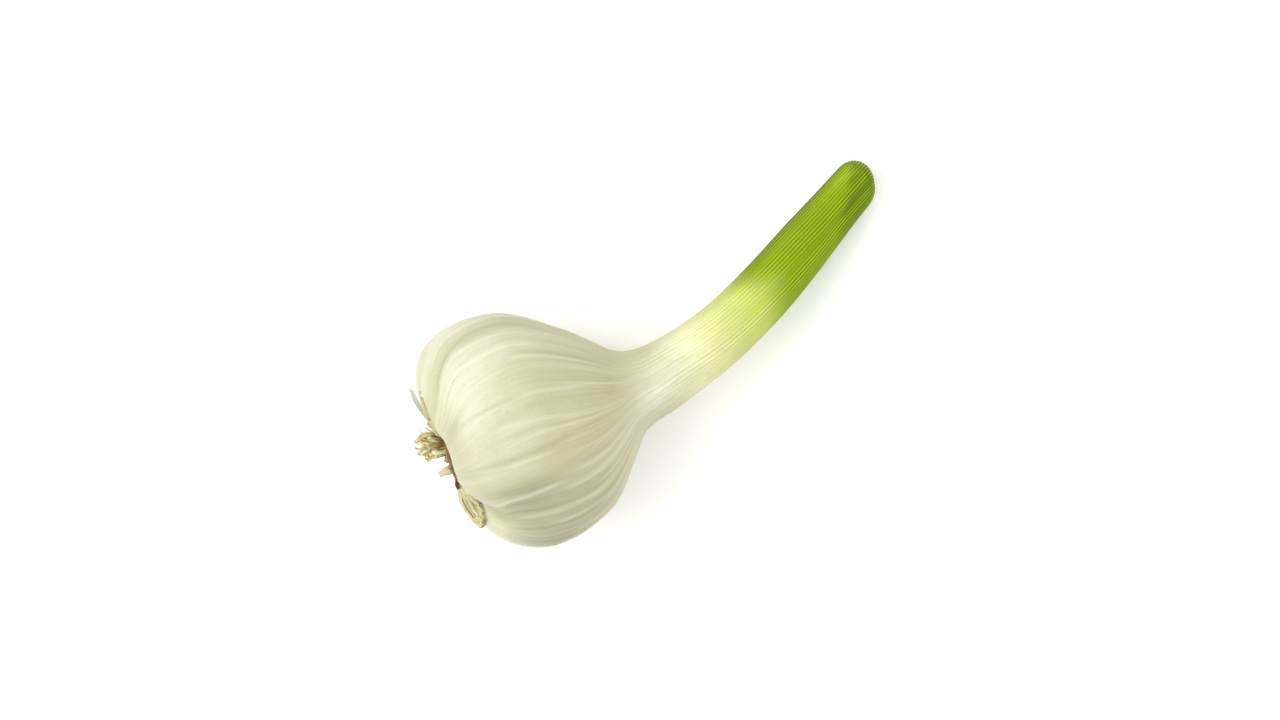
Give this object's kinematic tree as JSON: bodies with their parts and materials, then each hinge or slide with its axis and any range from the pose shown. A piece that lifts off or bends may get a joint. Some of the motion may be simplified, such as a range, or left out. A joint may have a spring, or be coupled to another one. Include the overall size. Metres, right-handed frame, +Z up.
{
  "type": "garlic bulb",
  "caption": "Fresh garlic bulb lying on its side, with trimmed roots, a scrap of torn dry skin and a curved green stalk cut off short.",
  "frame": {"origin": "on the surface that the bulb lies on, inside the flat spot under its belly", "axes": "+X along the bulb from the roots towards the stalk, +Z up, +Y the side that the stalk bends to"},
  "size_m": [0.1273, 0.0597, 0.0523],
  "materials": {
    "skin": "satin plant skin, cream on the bulb, white to yellow-green and green along the stalk",
    "dry_root": "dull, dry, corky",
    "dry_skin": "dull, papery, slightly see-through"
  },
  "bodies": {
    "root": {"bulb_and_stalk": "skin", "root_plate": "dry_root", "torn_skin": "dry_skin"}
  },
  "joints": []
}
